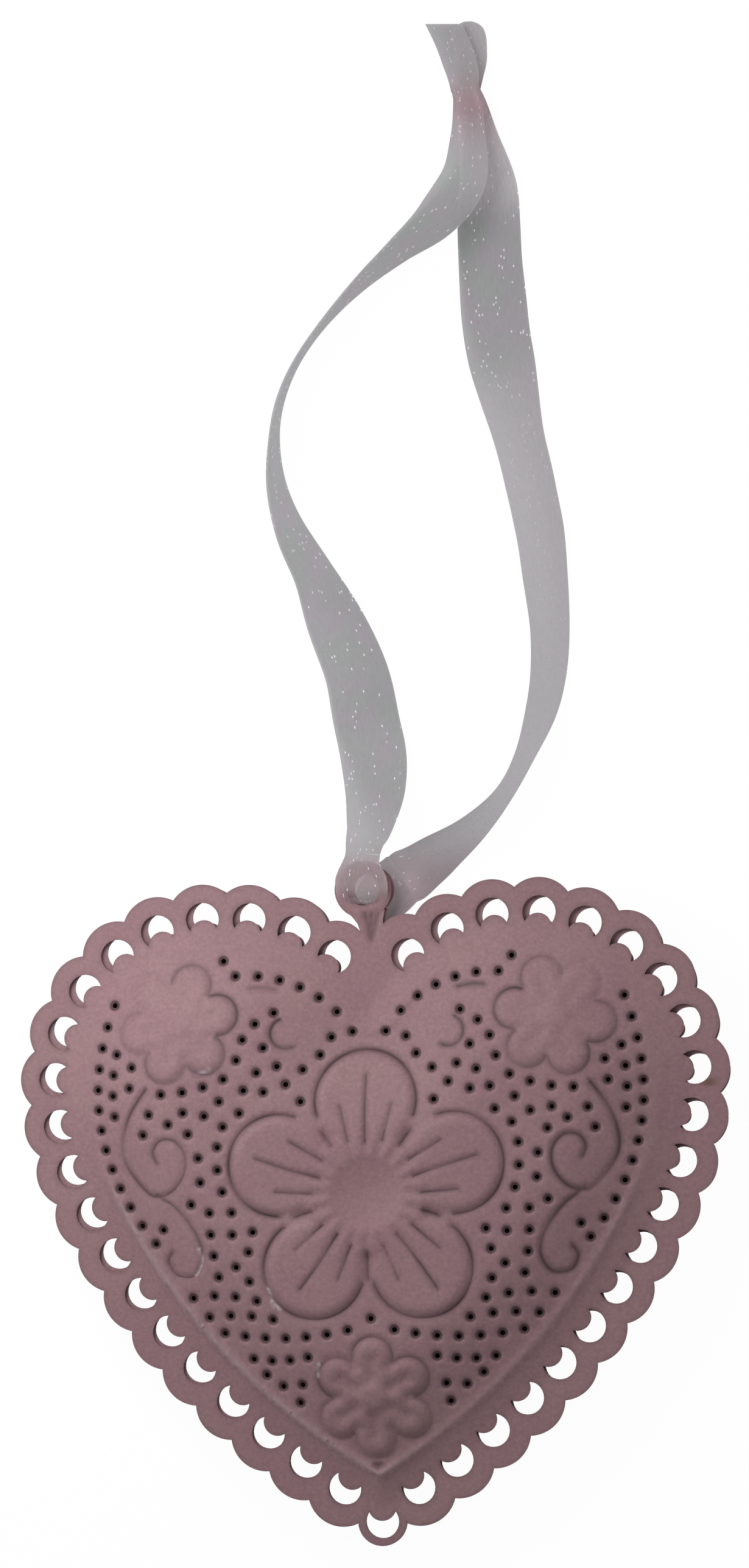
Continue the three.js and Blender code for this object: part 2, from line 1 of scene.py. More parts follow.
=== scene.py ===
import bpy, bmesh, json
from collections import Counter
from math import sin, cos, asin, atan2, pi, radians, exp
from mathutils import Vector, Matrix, kdtree, noise
from mathutils.geometry import delaunay_2d_cdt
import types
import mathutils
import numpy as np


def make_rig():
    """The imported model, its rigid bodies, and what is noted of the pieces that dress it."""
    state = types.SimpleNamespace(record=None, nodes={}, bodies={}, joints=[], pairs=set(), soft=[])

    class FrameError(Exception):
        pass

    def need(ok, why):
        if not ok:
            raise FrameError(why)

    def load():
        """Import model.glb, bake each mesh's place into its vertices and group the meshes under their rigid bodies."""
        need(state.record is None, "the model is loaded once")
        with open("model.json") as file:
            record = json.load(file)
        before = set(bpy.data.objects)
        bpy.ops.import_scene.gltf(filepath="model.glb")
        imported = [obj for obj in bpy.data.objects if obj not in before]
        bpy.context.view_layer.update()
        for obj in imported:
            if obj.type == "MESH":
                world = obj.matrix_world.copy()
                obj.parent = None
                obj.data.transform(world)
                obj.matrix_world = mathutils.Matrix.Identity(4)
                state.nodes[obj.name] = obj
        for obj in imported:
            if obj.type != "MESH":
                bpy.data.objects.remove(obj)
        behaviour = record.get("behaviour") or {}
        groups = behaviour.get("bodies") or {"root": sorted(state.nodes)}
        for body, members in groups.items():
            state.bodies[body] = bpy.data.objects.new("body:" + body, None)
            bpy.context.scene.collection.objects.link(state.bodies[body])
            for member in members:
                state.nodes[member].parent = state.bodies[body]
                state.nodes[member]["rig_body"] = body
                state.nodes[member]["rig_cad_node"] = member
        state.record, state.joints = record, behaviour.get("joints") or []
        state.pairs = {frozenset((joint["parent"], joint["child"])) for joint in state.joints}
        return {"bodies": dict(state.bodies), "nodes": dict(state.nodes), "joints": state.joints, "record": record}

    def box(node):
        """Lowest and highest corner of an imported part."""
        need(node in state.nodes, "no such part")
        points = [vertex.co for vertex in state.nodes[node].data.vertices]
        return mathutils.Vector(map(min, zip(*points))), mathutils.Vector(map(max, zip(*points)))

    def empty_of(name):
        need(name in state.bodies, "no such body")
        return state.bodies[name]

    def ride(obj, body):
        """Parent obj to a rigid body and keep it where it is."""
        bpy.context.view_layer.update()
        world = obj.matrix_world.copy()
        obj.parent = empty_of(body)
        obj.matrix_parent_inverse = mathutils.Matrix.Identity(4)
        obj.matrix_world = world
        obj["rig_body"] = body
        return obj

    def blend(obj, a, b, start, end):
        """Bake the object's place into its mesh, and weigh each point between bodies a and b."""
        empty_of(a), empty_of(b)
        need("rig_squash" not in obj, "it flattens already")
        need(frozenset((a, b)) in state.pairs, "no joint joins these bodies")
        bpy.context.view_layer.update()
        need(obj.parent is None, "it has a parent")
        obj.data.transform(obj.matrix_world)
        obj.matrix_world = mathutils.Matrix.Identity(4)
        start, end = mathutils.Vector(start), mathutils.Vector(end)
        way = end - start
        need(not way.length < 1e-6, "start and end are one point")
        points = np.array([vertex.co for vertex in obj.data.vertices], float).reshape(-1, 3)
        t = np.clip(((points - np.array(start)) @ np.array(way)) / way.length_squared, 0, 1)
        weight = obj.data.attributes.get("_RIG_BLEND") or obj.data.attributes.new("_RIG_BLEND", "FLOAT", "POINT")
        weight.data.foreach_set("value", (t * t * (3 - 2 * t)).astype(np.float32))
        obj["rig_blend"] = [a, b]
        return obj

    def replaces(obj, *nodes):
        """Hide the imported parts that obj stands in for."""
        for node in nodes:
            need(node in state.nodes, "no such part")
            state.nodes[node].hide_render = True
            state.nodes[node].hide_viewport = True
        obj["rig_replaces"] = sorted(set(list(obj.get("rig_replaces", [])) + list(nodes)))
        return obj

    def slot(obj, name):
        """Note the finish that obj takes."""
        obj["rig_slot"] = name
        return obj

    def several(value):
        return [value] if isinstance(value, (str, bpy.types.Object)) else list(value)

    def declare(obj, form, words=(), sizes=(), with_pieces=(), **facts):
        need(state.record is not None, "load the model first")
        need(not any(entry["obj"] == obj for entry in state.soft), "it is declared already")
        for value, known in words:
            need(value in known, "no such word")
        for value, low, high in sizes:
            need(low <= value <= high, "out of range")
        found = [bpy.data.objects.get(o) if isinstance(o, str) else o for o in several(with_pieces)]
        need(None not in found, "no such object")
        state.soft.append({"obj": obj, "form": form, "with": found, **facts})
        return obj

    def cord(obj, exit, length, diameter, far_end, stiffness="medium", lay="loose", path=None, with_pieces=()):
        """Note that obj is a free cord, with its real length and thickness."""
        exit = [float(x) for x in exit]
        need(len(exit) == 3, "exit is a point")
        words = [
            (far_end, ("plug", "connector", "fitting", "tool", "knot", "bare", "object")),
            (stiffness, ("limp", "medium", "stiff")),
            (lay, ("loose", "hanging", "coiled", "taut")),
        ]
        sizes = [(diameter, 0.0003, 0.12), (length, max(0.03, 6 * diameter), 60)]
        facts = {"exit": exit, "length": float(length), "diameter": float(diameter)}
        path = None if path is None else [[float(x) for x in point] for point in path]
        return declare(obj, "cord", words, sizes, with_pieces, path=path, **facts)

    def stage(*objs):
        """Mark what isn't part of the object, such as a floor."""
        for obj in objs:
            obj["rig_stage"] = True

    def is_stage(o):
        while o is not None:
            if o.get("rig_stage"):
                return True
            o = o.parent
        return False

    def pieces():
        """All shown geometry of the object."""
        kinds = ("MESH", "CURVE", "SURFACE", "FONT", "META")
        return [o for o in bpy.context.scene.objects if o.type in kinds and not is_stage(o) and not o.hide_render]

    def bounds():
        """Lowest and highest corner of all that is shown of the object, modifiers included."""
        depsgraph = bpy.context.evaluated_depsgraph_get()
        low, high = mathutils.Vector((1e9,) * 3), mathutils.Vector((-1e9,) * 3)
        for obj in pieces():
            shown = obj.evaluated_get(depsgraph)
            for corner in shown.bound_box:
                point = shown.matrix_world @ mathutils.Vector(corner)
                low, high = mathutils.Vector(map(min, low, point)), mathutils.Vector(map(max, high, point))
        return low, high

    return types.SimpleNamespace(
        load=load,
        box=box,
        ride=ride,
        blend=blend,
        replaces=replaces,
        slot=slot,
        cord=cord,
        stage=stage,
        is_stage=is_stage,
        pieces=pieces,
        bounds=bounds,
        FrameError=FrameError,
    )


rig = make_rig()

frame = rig.load()
cadLow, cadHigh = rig.bounds()
scene = bpy.context.scene
scene.view_settings.view_transform = "Standard"
mm = 0.001

# camera above the table, a little to the right of the heart
view = {"place": (152.04, 22.28, 1143.8), "turn": (0.0322, 0.1329, -0.0248), "lens": 175.85, "sensor": 36}
camera = bpy.data.objects.new("camera", bpy.data.cameras.new("camera"))
scene.collection.objects.link(camera)
camera.location = Vector(view["place"]) * mm
camera.rotation_mode = "YXZ"
camera.rotation_euler = view["turn"]
camera.data.lens = view["lens"]
camera.data.sensor_width = view["sensor"]
scene.camera = camera


def linear(code):  # sRGB hex to linear
    parts = [int(code[i:i + 2], 16) / 255 for i in (1, 3, 5)]
    return [c / 12.92 if c < 0.04045 else ((c + 0.055) / 1.055) ** 2.4 for c in parts] + [1]


def addNode(tree, kind, settings={}, values={}, links={}):
    made = tree.nodes.new(kind)
    for key, value in settings.items():
        setattr(made, key, value)
    for key, value in values.items():
        made.inputs[key].default_value = value
    for key, source in links.items():
        tree.links.new(source, made.inputs[key])
    return made


def newMaterial(name):
    material = bpy.data.materials.new(name)
    material.use_nodes = True
    material.node_tree.nodes.clear()
    return material, material.node_tree


def attribute(tree, name):
    return addNode(tree, "ShaderNodeAttribute", {"attribute_name": name}).outputs["Fac"]


def noiseOver(tree, coords, values):
    return addNode(tree, "ShaderNodeTexNoise", {}, values, {"Vector": coords}).outputs["Fac"]


def combined(tree, operation, a, b, within=False):  # one value from two, kept between 0 and 1 if asked
    settings = {"operation": operation, "use_clamp": within}
    return addNode(tree, "ShaderNodeMath", settings, {}, {0: a, 1: b}).outputs[0]


def spread(tree, value, fromLow, fromHigh, toLow, toHigh):  # one range of values laid over another
    limits = {"From Min": fromLow, "From Max": fromHigh, "To Min": toLow, "To Max": toHigh}
    return addNode(tree, "ShaderNodeMapRange", {}, limits, {"Value": value}).outputs["Result"]


def mixed(tree, amount, colour, code, blend="MIX"):  # a colour drawn towards a given one
    settings = {"data_type": "RGBA", "blend_type": blend}
    return addNode(tree, "ShaderNodeMix", settings, {7: linear(code)}, {0: amount, 6: colour}).outputs[2]


def ramp(tree, value, stops):  # colours along a value: position and hex of each
    made = addNode(tree, "ShaderNodeValToRGB", {}, {}, {"Fac": value})
    elements = made.color_ramp.elements
    for k, (position, code) in ((0, stops[0]), (1, stops[-1])):
        elements[k].position, elements[k].color = position, linear(code)
    for position, code in stops[1:-1]:
        elements.new(position).color = linear(code)
    return made.outputs["Color"]


def clamp(x, low=0.0, high=1.0):
    return max(low, min(high, x))


def ease(x):
    x = clamp(x)
    return x * x * (3 - 2 * x)


def rising(x, start, run):
    return ease((x - start) / run)


def falling(x, end, run):
    return ease((end - x) / run)


def hump(x, width):
    return exp(-(x / width) ** 2)


# the two pressed halves, in millimetres on the heart's own middle line
pressing = {
    "sheet": 0.4, "rimGap": 0.3, "middle": 7.25, "lowest": 0.02, "uneven": 0.06, "backTurn": -0.6, "backTrim": 0.7,
    "cleft": 31, "cleftHeading": 57.5, "bends": ((26.8, 61.8), (25.6, 91.3), (43.6, 19.6)), "flank": 104.4,
    "railStep": 0.1, "cleftSplit": 36, "cleftUpper": 2, "cleftLower": 3,
    "openings": 20, "cleftGap": 8.4, "tipGap": 6.8, "lacePeak": 5.25, "scallopDepth": 1.35,
    "opening": 2.5, "bump": 2.1, "bumpInset": 2.2, "flankInset": 0.55, "tipLobe": 3.65, "tipDrop": 1.1,
    "firstScallops": ((5.3, 38.7), (-5.2, 37.9)), "firstRadius": 4.75,
    "tab": (-1, 47.2), "tabRadius": 4.3, "tabBulge": 0.14, "eyelet": 2.4,
    "neckLeft": ((-2.8, 43.3), (-1.94, 42.1), (-1.5, 40.8)), "neckRight": ((2.2, 44.1), (1.9, 42.6), (1.5, 40.8)),
    "toe": 0.2, "toeCurve": 1.4, "ridge": 5, "ridgeHeight": 1.6, "crown": 19, "crownRise": 4.6,
    "bead": 0.42, "beadOut": 0.3, "beadWide": 0.5, "beadEnd": (12, 18),
    "dot": 0.38, "dotRim": 0.68, "dotFade": 0.24, "dotShift": -0.32, "dimple": 0.42, "dimpleWide": 0.5,
    "dotReach": 2.4, "grooveReach": 1.4, "scorch": (50.2, 17.4), "scorchSize": (1.2, 0.5),
}
bloom = {
    "middle": (-0.55, 1.95), "reach": 13.75, "radius": 7.6, "relief": 0.5, "soft": 1.5, "core": 10, "extent": 24,
    "dish": 5.7, "dishDepth": 1.1, "flute": 0.17, "flutes": 20, "fluteFrom": (5, 1.5), "fluteTo": (12, 5),
    "arcs": ((-108, 216), (-91, 199), (-108, 216), (-108, 216), (-108, 199)),  # start and sweep of each petal's line
    "midrib": ((7.5, 0), (12.5, 0.6), (17.6, 0)), "veins": ((8.2, 18.6), (13.8, 16.4)),  # way out and turn
    "notchFrom": 8.8, "notches": (11.4, 11.4, 13, 11.4, 11.4),  # how far out the stroke after each petal goes
}
# small flowers: middle, turn, relief, and how dark each petal's line is, anticlockwise from the turn
sprig = {
    "petals": 6, "reach": 6.1, "radius": 3.05, "soft": 1.3, "core": 5.4, "extent": 9,
    "button": 2.4, "buttonSoft": 1.4, "buttonRise": 0.6,
    "valley": 0.95, "valleyDepth": 0.8, "valleyFrom": (1.5, 1.5), "valleyTo": (7, 1.5),
    "lineFrom": -100, "lineSweep": 200,
    "places": (
        (27.95, 27.87, 49.5, 0.3, (0, 0.45, 0.85, 0.8, 0.7, 0.75)),
        (-28.69, 27.59, 72, 0.3, (0.5, 0.05, 0.3, 0.55, 0.75, 0.8)),
        (-0.29, -28.5, 30, 0.62, (0.7, 0.7, 0.7, 0.45, 0.2, 0.35))),
}
# rows of pierced dots on the right half: count, first, last, bow to the left of the row
dotRows = (
    (13, 38.4, 30.6, 32.7, -5.2, 5.2), (4, 38, 23.2, 38.5, 13.9, 0.4), (2, 35.6, 21.2, 36, 18.1, 0),
    (1, 21.7, 36.9, 21.7, 36.9, 0), (6, 4.8, 29, 19.8, 34.6, 1.7), (2, 5.6, 25.2, 2.5, 26, 0),
    (3, 7.2, 22.6, 12.2, 18.3, 0), (1, 10, 15.7, 10, 15.7, 0), (4, 14, 29, 19.5, 22, 1.3),
    (4, 21.5, 19.2, 31, 17.1, -0.5), (2, 13.5, 21, 16.5, 20.1, 0), (1, 15.5, 23.8, 15.5, 23.8, 0),
    (2, 15.5, 17.2, 18.5, 17.5, 0), (2, 22.2, 15.9, 19.2, 14.1, 0), (3, 33, 14.1, 27, 11.1, 0),
    (1, 34, 11.1, 34, 11.1, 0), (3, 27.7, 14.3, 21.7, 12.1, -0.6), (4, 22.6, 9.1, 20.6, -0.7, 0.8),
    (3, 25.5, 7.5, 26.8, 0.6, -0.9), (4, 24, -0.7, 23, -10.3, 0.3), (2, 17.5, -3.6, 20.6, -4, 0),
    (3, 18.2, -6.6, 18.2, -11, 2), (4, 27.2, -13.4, 17.2, -13.9, -0.5), (4, 24.8, -16.3, 14.8, -16.7, -0.4),
    (7, 22.5, -18.7, 3.5, -18.4, 1), (4, 18.2, -22.6, 9.7, -22.4, 0.4), (3, 16.3, -25, 10.8, -26.5, 1),
    (1, 11.3, -29.2, 11.3, -29.2, 0), (1, 31.4, -3.1, 31.4, -3.1, 0),
)
axisDots = (-16.7,)
dent = ((-0.3, -38.5), (-0.2, -38.6))  # a dot that was not struck through, drawn dark with painted shade like the holes
# drawn lines of the right half: points, depth, darkness; the left ones are finer
scrolls = (
    (((33.1, 17.9), (35.7, 14.1), (37, 10), (36.6, 6.8), (34.2, 3.4), (32.1, 1.9), (29.4, 2.6), (27.4, 5.2),
      (27.3, 8.1), (28.9, 10.1), (31.1, 10.1), (32.2, 8.4), (31.6, 6.7)), 0.3, 0.82),
    (((31.8, 2.1), (28.6, -0.3), (25.8, -4.2), (25.1, -7.5), (26.6, -10.1), (29.3, -10), (30.5, -7.9),
      (29.7, -6.4)), 0.3, 0.78),
    (((13.3, 32.4), (15.4, 32.8), (17.4, 32.7)), 0.22, 0.7),
)
curl = {"middle": (11.9, 25.9), "radius": 2.3, "from": 65, "sweep": -185}
# the V below the tab: its darkness is painted shade in the hollow
crease = tuple(((x, 43.6), (0.1 + x / 2, 41.6), (0.1, 39.5)) for x in (-0.8, 0.2, 1.2))
# short stretches of line where the paint is worn down to tin, drawn lighter as painted highlights
rubbedHighlights = (((-25.4, 20.3), (-24.6, 20.4), (-23.8, 20.7)), ((-26.1, -6), (-25.75, -7.5), (-26.2, -9), (-27, -9.95)),
          ((-8.3, -23.3), (-8.6, -24.4), (-8.5, -25.4)), ((-15.7, -11.9), (-15, -14), (-14, -15.1)))
# spacing of a line's points, then depth, darkness and half width of each kind of line
stroke = {
    "step": 0.35, "creaseStep": 0.3, "dentStep": 0.1, "rubStep": 0.25,
    "scrollWide": 0.46, "leftWide": 0.36, "leftDark": 0.85, "leftShift": 0.6,
    "curl": (0.22, 1, 0.38), "leftCurl": (0.22, 0.9, 0.38), "crease": (0.3, 0.6, 0.5), "dent": (0.3, 0.7, 0.75),
    "petal": (0.28, 0.8, 0.38), "midrib": (0.22, 0.75, 0.31), "vein": (0.2, 0.68, 0.29), "notch": (0.35, 0.75, 0.42),
    "sprigDepth": 0.12, "sprigWide": 0.37,
}
# how the flat sheet is divided before it is pressed
plate = {
    "step": 0.6, "rowStep": 0.866, "span": 110, "corner": (-55, -54), "apart": 0.28, "fromEdge": 0.22,
    "dotRings": (0.62, 0.77, 0.93, 1.15, 1.4), "ringStep": 0.4, "ringTurn": 30, "ringSweep": 337,
    "rimRows": (-0.4, -5, -5.6, -6.2), "rimPoints": 250, "sharp": 50,
    "scallopSides": 64, "openingSides": 28, "dotSides": 12, "eyeletSides": 36, "tabSides": 48, "tipSides": 40,
}


def heartRail():  # the line through the middles of the edge openings: x, y, heading, distance
    p = pressing
    x, y, heading, run, line = 0.0, p["cleft"], radians(p["cleftHeading"]), 0.0, []
    stretches = [(r, radians(a)) for r, a in p["bends"]] + [(p["flank"], None)]
    for radius, turn in stretches:
        centreX, centreY = x + radius * sin(heading), y - radius * cos(heading)
        if turn is None:
            turn = heading + pi + asin(centreX / radius)
        steps = round(radius * turn / p["railStep"])
        for k in range(steps):
            h = heading - turn * k / steps
            line.append((centreX - radius * sin(h), centreY + radius * cos(h), h, run + radius * turn * k / steps))
        heading -= turn
        run += radius * turn
        x, y = centreX - radius * sin(heading), centreY + radius * cos(heading)
    return line, run, Vector((x, y))


rail, railLength, railEnd = heartRail()
pitch = (railLength - pressing["cleftGap"] - pressing["tipGap"]) / (pressing["openings"] - 1)
scallopRadius = ((pitch / 2) ** 2 + pressing["scallopDepth"] ** 2) / (2 * pressing["scallopDepth"])
tip = Vector((0, railEnd.y - pressing["tipDrop"]))
tab = Vector(pressing["tab"])


def treeOf(points):
    tree = kdtree.KDTree(len(points))
    for k, p in enumerate(points):
        tree.insert((p[0], p[1], 0), k)
    tree.balance()
    return tree


railTree = treeOf(rail)


def insideRail(x, y):  # how far inside the right half of the rail
    near, k, away = railTree.find((x, y, 0))
    h = rail[k][2]
    outside = (x - near.x) * -sin(h) + (y - near.y) * cos(h) > 0
    return -away if outside else away


def besideRail(run, out):
    x, y, h, _ = rail[min(range(len(rail)), key=lambda k: abs(rail[k][3] - run))]
    return Vector((x - sin(h) * out, y + cos(h) * out))


def bothSides(points):
    return [Vector(p) for p in points] + [Vector((-p[0], p[1])) for p in points]


openingRuns = [pressing["cleftGap"] + i * pitch for i in range(pressing["openings"])]
# the flanks' openings lie deeper
inward = [pressing["flankInset"] * ease(r / railLength * 5 - 2) for r in openingRuns]
openings = bothSides([besideRail(r, -i) for r, i in zip(openingRuns, inward)]) + [tip]
bumps = bothSides([besideRail(r, -i - pressing["bumpInset"]) for r, i in zip(openingRuns, inward)])
bumps.append(tip + Vector((0, pressing["bumpInset"])))
scallops = bothSides([besideRail(r, pressing["lacePeak"] - scallopRadius) for r in openingRuns[1:]])
firstScallops = [Vector(p) for p in pressing["firstScallops"]]
dots = [Vector((0, y)) for y in axisDots]
for count, x0, y0, x1, y1, bow in dotRows:
    first, last = Vector((x0, y0)), Vector((x1, y1))
    side = (last - first).orthogonal().normalized() if count > 1 else Vector((0, 0))
    for k in range(count):
        t = k / (count - 1) if count > 1 else 0
        dots += bothSides([first.lerp(last, t) + side * (4 * bow * t * (1 - t))])
for at in dots:  # the pattern sits a little off the middle
    at.x += pressing["dotShift"]
openingTree, bumpTree, scallopTree, dotTree = (treeOf(p) for p in (openings, bumps, scallops, dots))
chord, fineChord = 0.99, 0.995  # cut edges are polygons, a little inside their circles


def inNeck(x, y, trim):
    left, right = pressing["neckLeft"], pressing["neckRight"]
    for (xa, ya), (xb, yb), (xc, yc), (xd, yd) in zip(left, left[1:], right, right[1:]):
        if min(yb, yd) <= y <= max(ya, yc):
            leftX = xa + (xb - xa) * clamp((ya - y) / (ya - yb))
            rightX = xc + (xd - xc) * clamp((yc - y) / (yc - yd))
            return leftX + trim < x < rightX - trim
    return False


def isMetal(x, y, trim, pierced):
    p, at = pressing, Vector((x, y, 0))
    fromTab = (at.xy - tab).length
    if pierced and dotTree.find(at)[2] < p["dot"] * chord or fromTab < p["eyelet"] * fineChord:
        return False
    if openingTree.find(at)[2] < p["opening"] * fineChord and bumpTree.find(at)[2] > (p["bump"] - trim) * chord:
        return False
    if insideRail(abs(x), y) > 0 or scallopTree.find(at)[2] < scallopRadius - trim:
        return True
    if min((at.xy - f).length for f in firstScallops) < p["firstRadius"] - trim:
        return True
    cleftHalf = p["cleftUpper"] if y > p["cleftSplit"] else p["cleftLower"]
    if abs(x) < cleftHalf and p["cleft"] - 1 < y < p["neckLeft"][-1][1] + 0.01:
        return True
    return fromTab < p["tabRadius"] - trim or (at.xy - tip).length < p["tipLobe"] or inNeck(x, y, trim)


def between(a, b, c, d, t):  # a smooth curve from b to c
    return 0.5 * (2 * b + (c - a) * t + (2 * a - 5 * b + 4 * c - d) * t * t + (3 * b - a - 3 * c + d) * t ** 3)


def throughPoints(points, step=stroke["step"]):  # a smooth line through a few points
    line = []
    ends = [points[0]] + list(points) + [points[-1]]
    for four in zip(ends, ends[1:], ends[2:], ends[3:]):
        a, b, c, d = (Vector(q) for q in four)
        count = max(2, round((c - b).length / step))
        line += [between(a, b, c, d, k / count) for k in range(count)]
    return line + [Vector(points[-1])]


def arcPoints(middle, radius, first, sweep, step=stroke["step"]):
    count = max(3, round(abs(radians(sweep)) * radius / step))
    angles = [radians(first + sweep * k / count) for k in range(count + 1)]
    return [Vector((middle[0] + radius * cos(a), middle[1] + radius * sin(a))) for a in angles]


def mirrored(line):
    return [Vector((-p.x - stroke["leftShift"], p.y)) for p in line]


def drawnLines():  # every groove: points, depth, darkness, half width
    lines = []
    for points, depth, dark in scrolls:
        line = throughPoints(points)
        lines.append((line, depth, dark, stroke["scrollWide"]))
        lines.append((mirrored(line), depth, dark * stroke["leftDark"], stroke["leftWide"]))
    line = arcPoints(curl["middle"], curl["radius"], curl["from"], curl["sweep"])
    lines += [(line, *stroke["curl"]), (mirrored(line), *stroke["leftCurl"])]
    lines += [(throughPoints(points, stroke["creaseStep"]), *stroke["crease"]) for points in crease]
    lines.append((throughPoints(dent, stroke["dentStep"]), *stroke["dent"]))
    centre, petals = Vector(bloom["middle"]), len(bloom["arcs"])

    def onFlower(reach, angle):
        return centre + Vector((reach * cos(radians(angle)), reach * sin(radians(angle))))

    for k, (first, sweep) in enumerate(bloom["arcs"]):
        angle = 90 + 360 * k / petals
        petal = arcPoints(onFlower(bloom["reach"], angle), bloom["radius"], angle + first, sweep)
        lines.append((petal, *stroke["petal"]))
        midrib = [onFlower(reach, angle + turn) for reach, turn in bloom["midrib"]]
        lines.append((throughPoints(midrib), *stroke["midrib"]))
        for off in (-1, 1):
            vein = [onFlower(reach, angle + turn * off) for reach, turn in bloom["veins"]]
            lines.append((throughPoints(vein), *stroke["vein"]))
        notch = [onFlower(reach, angle + 180 / petals) for reach in (bloom["notchFrom"], bloom["notches"][k])]
        lines.append((throughPoints(notch), *stroke["notch"]))
    s = sprig
    for x, y, turn, _, darks in s["places"]:
        for k, dark in enumerate(darks):
            angle = turn + 360 * k / s["petals"]
            middle = (x + s["reach"] * cos(radians(angle)), y + s["reach"] * sin(radians(angle)))
            petal = arcPoints(middle, s["radius"], angle + s["lineFrom"], s["lineSweep"])
            lines.append((petal, stroke["sprigDepth"], dark, stroke["sprigWide"]))
    return lines


grooves = drawnLines()
groovePoints = [(p, depth, dark, wide) for line, depth, dark, wide in grooves for p in line]
grooveTree = treeOf([p for p, *_ in groovePoints])
rubHighlightTree = treeOf([p for points in rubbedHighlights for p in throughPoints(points, stroke["rubStep"])])
print("lines drawn:", len(grooves))


def flowerHeight(at):
    b, s = bloom, sprig
    height = 0.0
    ray = at.xy - Vector(b["middle"])
    angle, away = atan2(ray.y, ray.x), ray.length
    if away < b["extent"]:
        step = 2 * pi / len(b["arcs"])
        near = pi / 2 + step * round((angle - pi / 2) / step)
        petal = (ray - b["reach"] * Vector((cos(near), sin(near)))).length
        height += b["relief"] * max(falling(petal, b["radius"], b["soft"]), falling(away, b["core"], b["soft"]))
        fluting = cos(b["flutes"] * (angle - pi / 2))
        height -= b["flute"] * fluting * rising(away, *b["fluteFrom"]) * falling(away, *b["fluteTo"])
        if away < b["dish"]:
            height -= b["dishDepth"] * (1 - (away / b["dish"]) ** 2)
    for x, y, turn, relief, _ in s["places"]:
        ray = at.xy - Vector((x, y))
        away = ray.length
        if away < s["extent"]:
            step = 2 * pi / s["petals"]
            near = radians(turn) + step * round((atan2(ray.y, ray.x) - radians(turn)) / step)
            out = Vector((cos(near), sin(near)))
            petal = (ray - s["reach"] * out).length
            along, across = ray.dot(out), ray.cross(out)
            valley = hump(across, s["valley"]) * rising(along, *s["valleyFrom"]) * falling(along, *s["valleyTo"])
            whole = max(falling(petal, s["radius"], s["soft"]), falling(away, s["core"], s["soft"]))
            button = s["buttonRise"] * falling(away, s["button"], s["buttonSoft"])
            height += relief * (whole * (1 - s["valleyDepth"] * valley) + button)
    return height


def pressedHeight(x, y, pierced):  # height of the face above the flat rim, and how dark it is drawn: grime in the lines, painted shade in and round the holes
    p, at = pressing, Vector((x, y, 0))
    inset = insideRail(abs(x), y)
    slope = clamp((inset - p["toe"]) / (p["ridge"] - p["toe"]))
    height = p["ridgeHeight"] * slope ** p["toeCurve"]
    bold = 1.15 - 0.35 * clamp(x / 10, -1)  # the bead stands higher on the left
    height += p["bead"] * bold * falling(y, *p["beadEnd"]) * hump(inset - p["ridge"] - p["beadOut"], p["beadWide"])
    if inset > 0.01:
        far = max(0.01, abs(insideRail(-abs(x), y)))
        rounded = (inset ** -4 + far ** -4) ** -0.25  # no crest where the two halves meet
        t = clamp((rounded - p["ridge"]) / (p["crown"] - p["ridge"]))
        height += p["crownRise"] * t * (1 + t - t * t)
    height += flowerHeight(at)
    dirt = 0.0
    _, k, away = grooveTree.find(at)
    if away < p["grooveReach"]:
        _, depth, dark, wide = groovePoints[k]
        line = hump(away, wide)
        worn = clamp(0.95 + 0.8 * noise.noise((x * 0.16, y * 0.16, 4.0)), 0.4, 1.2)  # the darkness of the lines is patchy
        height -= depth * line
        dirt = dark * line * worn
    fromDot = dotTree.find(at)[2]
    if fromDot < p["dotReach"]:
        height -= p["dimple"] * hump(max(fromDot - (p["dot"] if pierced else 0), 0), p["dimpleWide"])
        # painted shade: a dark disc round each hole stands for the shadowed hollow inside; on the unpierced back the
        # dimples under the holes are drawn dark for the same shade
        if pierced:
            dirt = max(dirt, 0.97 - 0.97 * rising(fromDot, p["dotRim"], p["dotFade"]))
        else:
            dirt = max(dirt, 0.6 * hump(fromDot, 0.6))
    fromEyelet = (at.xy - tab).length
    if fromEyelet < p["tabRadius"]:
        ring = (p["tabRadius"] + p["eyelet"]) / 2
        height += p["tabBulge"] * clamp(1 - ((fromEyelet - ring) / (p["tabRadius"] - ring)) ** 2)
    return height, dirt


def cutLines(trim, pierced):  # all edges of the sheet as circles, trimmed where they lie inside it
    p = pressing
    bm = bmesh.new()

    def ring(at, radius, sides):
        place = Matrix.Translation((at[0], at[1], 0))
        return bmesh.ops.create_circle(bm, segments=sides, radius=radius, matrix=place)["verts"]

    def dropped(points):
        bmesh.ops.delete(bm, geom=points, context="VERTS")

    for places, radius in ((scallops, scallopRadius - trim), (firstScallops, p["firstRadius"] - trim)):
        for at in places:
            edge = ring(at, radius, plate["scallopSides"])
            dropped([v for v in edge if insideRail(abs(v.co.x), v.co.y) > -2.9 or abs(v.co.x) < 1])
    for at in openings:
        ring(at, p["opening"], plate["openingSides"])
    for at in bumps:
        edge = ring(at, p["bump"] - trim, plate["openingSides"])
        dropped([v for v in edge if openingTree.find(v.co)[2] > p["opening"] + 0.5])
    for at in dots if pierced else ():
        ring(at, p["dot"], plate["dotSides"])
    ring(tab, p["eyelet"], plate["eyeletSides"])
    edge = ring(tab, p["tabRadius"] - trim, plate["tabSides"])
    dropped([v for v in edge if abs(v.co.x + 0.4) < 1.4 and v.co.y < tab.y])
    dropped([v for v in ring(tip, p["tipLobe"], plate["tipSides"]) if v.co.y > tip.y + 1])
    for side, inset in ((p["neckLeft"], trim), (p["neckRight"], -trim)):
        corners = [bm.verts.new((x + inset, y, 0)) for x, y in side]
        for a, b in zip(corners, corners[1:]):
            bm.edges.new((a, b))
    bm.verts.index_update()
    points = [v.co.xy for v in bm.verts]
    edges = [(e.verts[0].index, e.verts[1].index) for e in bm.edges]
    bm.free()
    return points, edges


